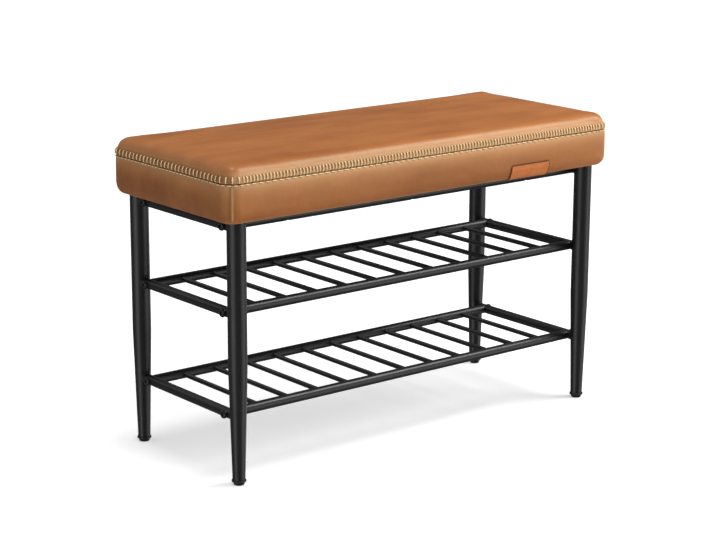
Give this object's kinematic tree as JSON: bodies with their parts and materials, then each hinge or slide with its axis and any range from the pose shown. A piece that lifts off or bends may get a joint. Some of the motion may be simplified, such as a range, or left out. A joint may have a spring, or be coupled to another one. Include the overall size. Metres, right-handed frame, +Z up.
{
  "type": "shoe bench",
  "caption": "Long padded seat with a stitched leather cover on tapered round legs, over open shoe shelves of round rods.",
  "frame": {"origin": "on the floor, under the middle of the bench", "axes": "+X along the bench to the right as seen from the front, +Y to the back, +Z up"},
  "size_m": [0.799, 0.3304, 0.508],
  "materials": {
    "powder_coat": "satin",
    "black_fastener": "satin",
    "zinc_steel": "satin",
    "black_plastic": "matte",
    "plywood": "matte",
    "foam": "matte",
    "caramel_leather": "satin",
    "tag_leather": "satin",
    "thread": "matte",
    "dust_cloth": "matte"
  },
  "bodies": {
    "frame": {"leg_front_left": "powder_coat", "leg_front_right": "powder_coat", "leg_rear_left": "powder_coat", "leg_rear_right": "powder_coat", "leg_caps": "black_plastic", "foot_bushes": "zinc_steel", "seat_rail_front": "powder_coat", "seat_rail_rear": "powder_coat", "seat_side_tube_left": "powder_coat", "seat_side_tube_right": "powder_coat", "lower_shelf_tube_front": "powder_coat", "lower_shelf_tube_rear": "powder_coat", "upper_shelf_tube_front": "powder_coat", "upper_shelf_tube_rear": "powder_coat", "lower_side_tube_left": "powder_coat", "lower_side_tube_right": "powder_coat", "upper_side_tube_left": "powder_coat", "upper_side_tube_right": "powder_coat", "lower_shelf_rod_1": "powder_coat", "lower_shelf_rod_2": "powder_coat", "lower_shelf_rod_3": "powder_coat", "lower_shelf_rod_4": "powder_coat", "lower_shelf_rod_5": "powder_coat", "lower_shelf_rod_6": "powder_coat", "lower_shelf_rod_7": "powder_coat", "lower_shelf_rod_8": "powder_coat", "lower_shelf_rod_9": "powder_coat", "lower_shelf_rod_10": "powder_coat", "lower_shelf_rod_11": "powder_coat", "upper_shelf_rod_1": "powder_coat", "upper_shelf_rod_2": "powder_coat", "upper_shelf_rod_3": "powder_coat", "upper_shelf_rod_4": "powder_coat", "upper_shelf_rod_5": "powder_coat", "upper_shelf_rod_6": "powder_coat", "upper_shelf_rod_7": "powder_coat", "upper_shelf_rod_8": "powder_coat", "upper_shelf_rod_9": "powder_coat", "upper_shelf_rod_10": "powder_coat", "upper_shelf_rod_11": "powder_coat", "frame_bolts": "black_fastener", "tube_inserts": "zinc_steel", "seat_spacers": "black_plastic", "seat_screws": "black_fastener", "seat_board": "plywood", "foam_pad": "foam", "leather_top": "caramel_leather", "leather_band": "caramel_leather", "seam_thread": "thread", "leather_tag": "tag_leather", "dust_cover": "dust_cloth"},
    "foot_front_left": {"foot_pad_front_left": "black_plastic", "foot_stud_front_left": "zinc_steel"},
    "foot_front_right": {"foot_pad_front_right": "black_plastic", "foot_stud_front_right": "zinc_steel"},
    "foot_rear_left": {"foot_pad_rear_left": "black_plastic", "foot_stud_rear_left": "zinc_steel"},
    "foot_rear_right": {"foot_pad_rear_right": "black_plastic", "foot_stud_rear_right": "zinc_steel"}
  },
  "joints": [
    {"name": "foot_front_left_screw", "type": "slide", "parent": "frame", "child": "foot_front_left", "axis": [0, 0, 1], "range_m": [-0.008, 0]},
    {"name": "foot_front_right_screw", "type": "slide", "parent": "frame", "child": "foot_front_right", "axis": [0, 0, 1], "range_m": [-0.008, 0]},
    {"name": "foot_rear_left_screw", "type": "slide", "parent": "frame", "child": "foot_rear_left", "axis": [0, 0, 1], "range_m": [-0.008, 0]},
    {"name": "foot_rear_right_screw", "type": "slide", "parent": "frame", "child": "foot_rear_right", "axis": [0, 0, 1], "range_m": [-0.008, 0]}
  ]
}
